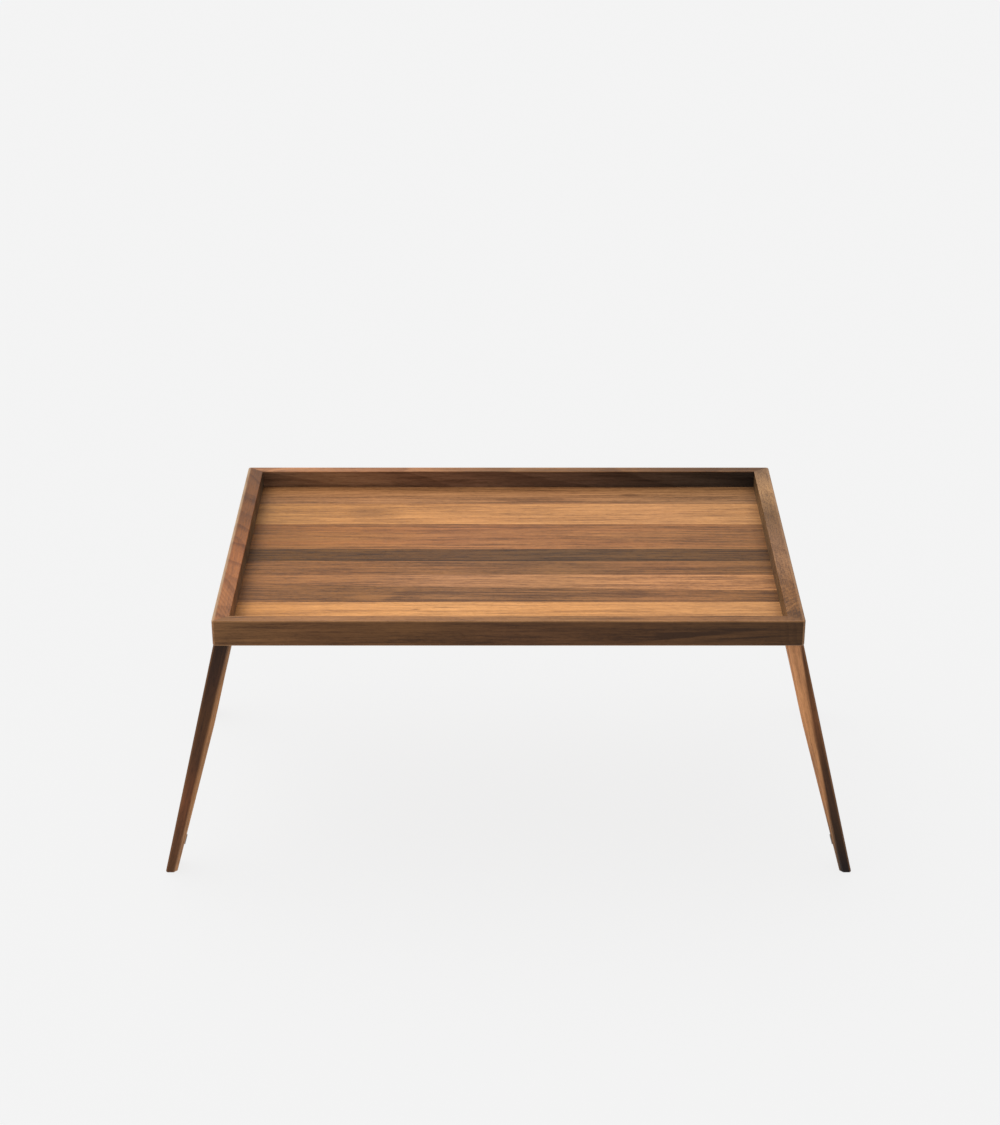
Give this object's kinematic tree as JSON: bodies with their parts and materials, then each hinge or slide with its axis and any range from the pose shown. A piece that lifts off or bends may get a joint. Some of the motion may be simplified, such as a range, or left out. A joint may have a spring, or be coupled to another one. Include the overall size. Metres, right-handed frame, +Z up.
{
  "type": "folding tray table",
  "caption": "Shallow rectangular walnut tray with a mitred rim and a floor of edge-glued staves, on two splayed leg frames that hinge under its ends and fold flat beneath it.",
  "frame": {"origin": "on the floor, under the middle of the tray", "axes": "+X to the right along the tray's length, +Y from the front to the back, +Z up"},
  "size_m": [0.673, 0.35, 0.286],
  "materials": {
    "rail_walnut": "oiled, satin",
    "stave_walnut_light": "oiled, satin",
    "stave_walnut_mid": "oiled, satin",
    "stave_walnut_dark": "oiled, satin",
    "leg_walnut": "oiled, satin",
    "hidden_beech": "bare",
    "bumper_rubber": "matt",
    "hinge_brass": "satin, lightly tarnished",
    "screw_brass": "satin"
  },
  "bodies": {
    "tray": {"back_rail": "rail_walnut", "corner_splines": "hidden_beech", "floor_stave_1": "stave_walnut_mid", "floor_stave_2": "stave_walnut_light", "floor_stave_3": "stave_walnut_mid", "floor_stave_4": "stave_walnut_dark", "floor_stave_5": "stave_walnut_mid", "floor_stave_6": "stave_walnut_light", "floor_stave_7": "stave_walnut_dark", "floor_stave_8": "stave_walnut_light", "front_rail": "rail_walnut", "left_front_hinge_pin": "hinge_brass", "left_front_hinge_tray_leaf": "hinge_brass", "left_rail": "rail_walnut", "left_rear_hinge_pin": "hinge_brass", "left_rear_hinge_tray_leaf": "hinge_brass", "left_tray_leaf_screws": "screw_brass", "right_front_hinge_pin": "hinge_brass", "right_front_hinge_tray_leaf": "hinge_brass", "right_rail": "rail_walnut", "right_rear_hinge_pin": "hinge_brass", "right_rear_hinge_tray_leaf": "hinge_brass", "right_tray_leaf_screws": "screw_brass"},
    "left_leg_frame": {"left_crossbar": "leg_walnut", "left_foot_bumpers": "bumper_rubber", "left_frame_dowels": "hidden_beech", "left_front_hinge_leg_leaf": "hinge_brass", "left_front_leg": "leg_walnut", "left_leg_leaf_screws": "screw_brass", "left_rear_hinge_leg_leaf": "hinge_brass", "left_rear_leg": "leg_walnut"},
    "right_leg_frame": {"right_crossbar": "leg_walnut", "right_foot_bumpers": "bumper_rubber", "right_frame_dowels": "hidden_beech", "right_front_hinge_leg_leaf": "hinge_brass", "right_front_leg": "leg_walnut", "right_leg_leaf_screws": "screw_brass", "right_rear_hinge_leg_leaf": "hinge_brass", "right_rear_leg": "leg_walnut"}
  },
  "joints": [
    {"name": "left_leg_fold", "type": "hinge", "parent": "tray", "child": "left_leg_frame", "pos_m": [-0.256, 0, 0.2593], "axis": [0, -1, 0], "range_deg": [0, 105.3]},
    {"name": "right_leg_fold", "type": "hinge", "parent": "tray", "child": "right_leg_frame", "pos_m": [0.256, 0, 0.2593], "axis": [0, 1, 0], "range_deg": [0, 102.5]}
  ]
}
